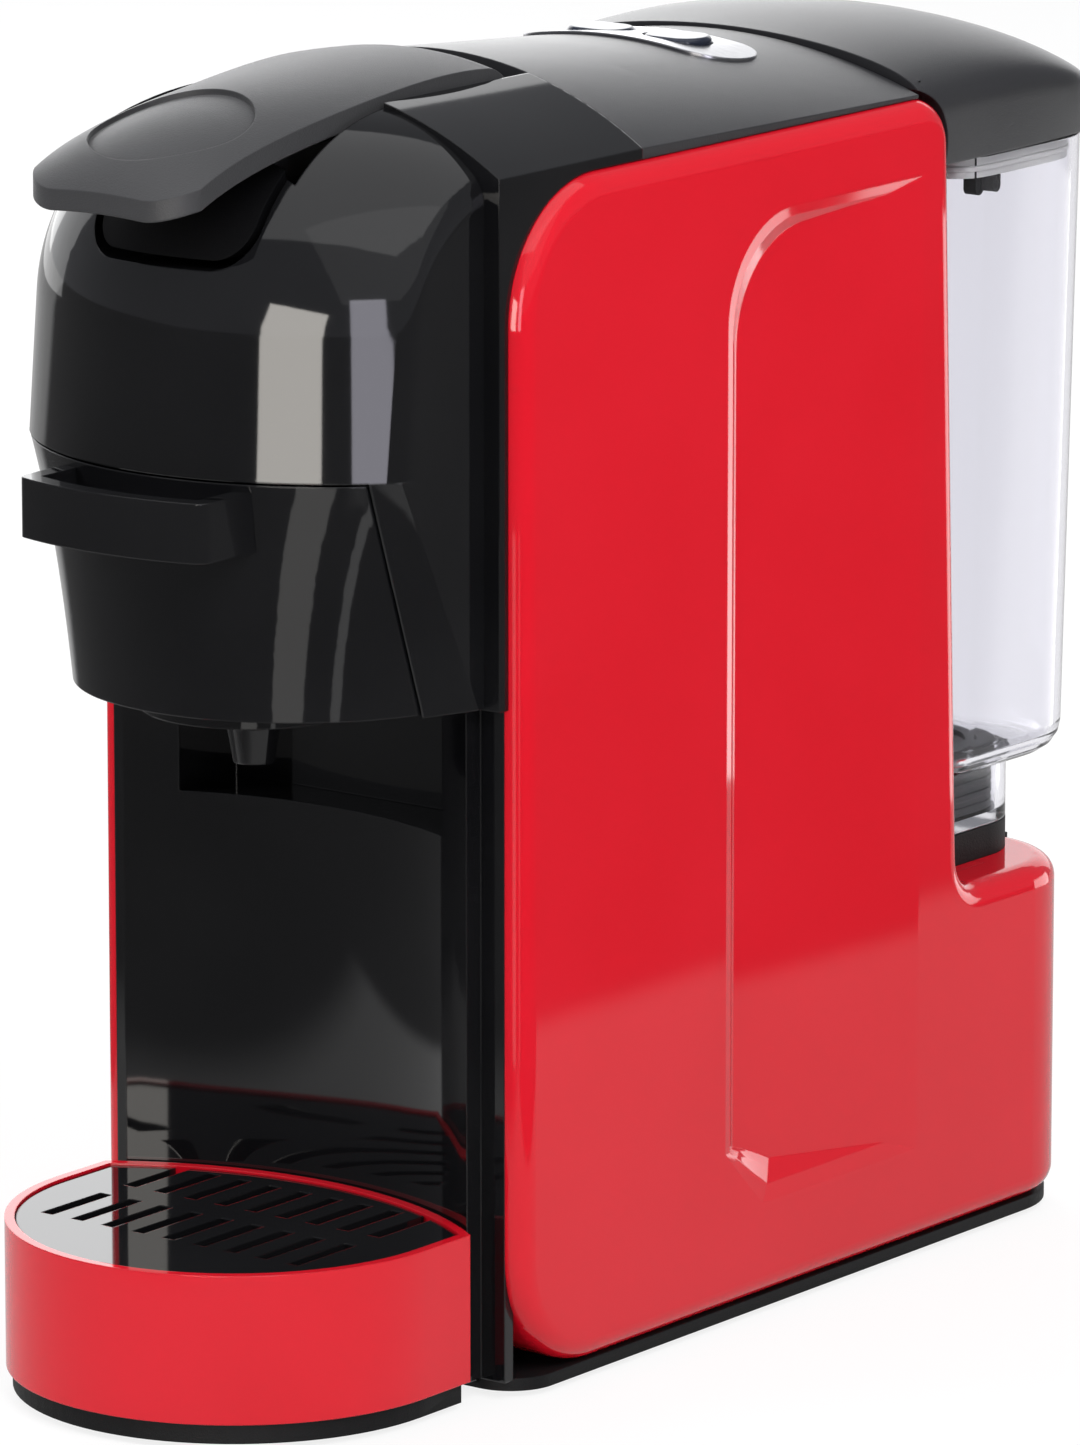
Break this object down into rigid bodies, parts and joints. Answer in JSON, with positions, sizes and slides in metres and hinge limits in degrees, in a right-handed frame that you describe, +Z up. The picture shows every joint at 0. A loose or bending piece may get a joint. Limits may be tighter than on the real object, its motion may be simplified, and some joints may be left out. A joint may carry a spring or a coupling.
{
  "type": "espresso machine",
  "caption": "Narrow capsule espresso machine with a lever that raises the brew piston, a pull-out capsule holder, a drip tray in front and a lift-off water tank behind.",
  "frame": {"origin": "on the table under the middle of the machine's outline", "axes": "+Z up, -Y towards the front where the cup stands, +X to the right seen from the front"},
  "size_m": [0.116, 0.3026, 0.2843],
  "materials": {
    "red_gloss": "high gloss",
    "black_gloss": "high gloss",
    "black_matte": "fine matte",
    "grey_satin": "satin",
    "soft_grey": "soft touch",
    "bezel_chrome": "satin chrome",
    "button_blue_black": "gloss",
    "steel": "brushed",
    "cast_aluminium": "as cast",
    "black_rubber": "matte",
    "clear_plastic": "clear",
    "board_green": "lacquered",
    "pale_plastic": "moulded",
    "tube_silicone": "translucent"
  },
  "bodies": {
    "machine_body": {"side_panel_right": "red_gloss", "side_panel_left": "red_gloss", "base_plate": "black_matte", "rubber_feet": "black_rubber", "front_column": "black_gloss", "head_shell": "black_gloss", "shoulder_frame": "black_gloss", "hinge_pin": "steel", "top_cover": "grey_satin", "button_bezel": "bezel_chrome", "button_switches": "black_matte", "control_board": "board_green", "brew_bridge": "cast_aluminium", "holder_rails": "black_matte", "tank_dock": "black_matte", "dock_seal": "black_rubber", "tank_niche_wall": "black_matte", "tank_deck": "red_gloss", "rear_cover": "black_matte", "inlet_gland": "black_rubber", "chassis_frame": "pale_plastic", "floor_screws": "steel", "pump_coil": "black_matte", "pump_body": "pale_plastic", "pump_mounts": "black_rubber", "thermoblock": "cast_aluminium", "thermostats": "pale_plastic", "flow_meter": "pale_plastic", "supply_tube": "tube_silicone", "suction_tube": "tube_silicone", "pressure_tube": "tube_silicone", "brew_tube": "tube_silicone"},
    "lever": {"lever_shell": "soft_grey", "lever_arm": "black_matte", "crank_pin": "steel"},
    "piston": {"brew_piston": "pale_plastic", "piston_seal": "black_rubber", "shower_plate": "steel", "capsule_needles": "steel", "piston_yoke": "cast_aluminium"},
    "capsule_holder": {"holder_body": "black_gloss", "capsule_insert": "steel", "spout": "black_gloss", "grip_strap": "black_gloss"},
    "drip_tray": {"tray_shell": "red_gloss", "tray_pan": "black_matte"},
    "drip_grid": {"drip_grid": "black_gloss"},
    "tank": {"tank_shell": "clear_plastic"},
    "tank_valve": {"valve_poppet": "black_matte"},
    "tank_lid": {"tank_lid": "grey_satin", "lid_nose": "grey_satin"},
    "button_left": {"button_left": "button_blue_black"},
    "button_right": {"button_right": "button_blue_black"}
  },
  "joints": [
    {"name": "lever_hinge", "type": "hinge", "parent": "machine_body", "child": "lever", "pos_m": [0, -0.043, 0.272], "axis": [-1, 0, 0], "range_deg": [0, 70]},
    {"name": "piston_slide", "type": "slide", "parent": "machine_body", "child": "piston", "axis": [0, 0, 1], "range_m": [0, 0.0159]},
    {"name": "holder_slide", "type": "slide", "parent": "machine_body", "child": "capsule_holder", "axis": [0, -1, 0], "range_m": [0, 0.085]},
    {"name": "tray_slide", "type": "slide", "parent": "machine_body", "child": "drip_tray", "axis": [0, -1, 0], "range_m": [0, 0.1]},
    {"name": "grid_lift", "type": "slide", "parent": "drip_tray", "child": "drip_grid", "axis": [0, 0, 1], "range_m": [0, 0.05]},
    {"name": "tank_lift", "type": "slide", "parent": "machine_body", "child": "tank", "axis": [0, 0, 1], "range_m": [0, 0.2]},
    {"name": "valve_close", "type": "slide", "parent": "tank", "child": "tank_valve", "axis": [0, 0, -1], "range_m": [0, 0.0015]},
    {"name": "lid_lift", "type": "slide", "parent": "tank", "child": "tank_lid", "axis": [0, 0, 1], "range_m": [0, 0.06]},
    {"name": "button_left_press", "type": "slide", "parent": "machine_body", "child": "button_left", "axis": [0, 0, -1], "range_m": [0, 0.0018], "stiffness_N_per_m": 300},
    {"name": "button_right_press", "type": "slide", "parent": "machine_body", "child": "button_right", "axis": [0, 0, -1], "range_m": [0, 0.0018], "stiffness_N_per_m": 300}
  ],
  "couplings": [
    {"joint": "piston_slide", "follows": "lever_hinge", "m_per_rad": 0.012946},
    {"joint": "valve_close", "follows": "tank_lift", "ratio": 0.0075}
  ]
}
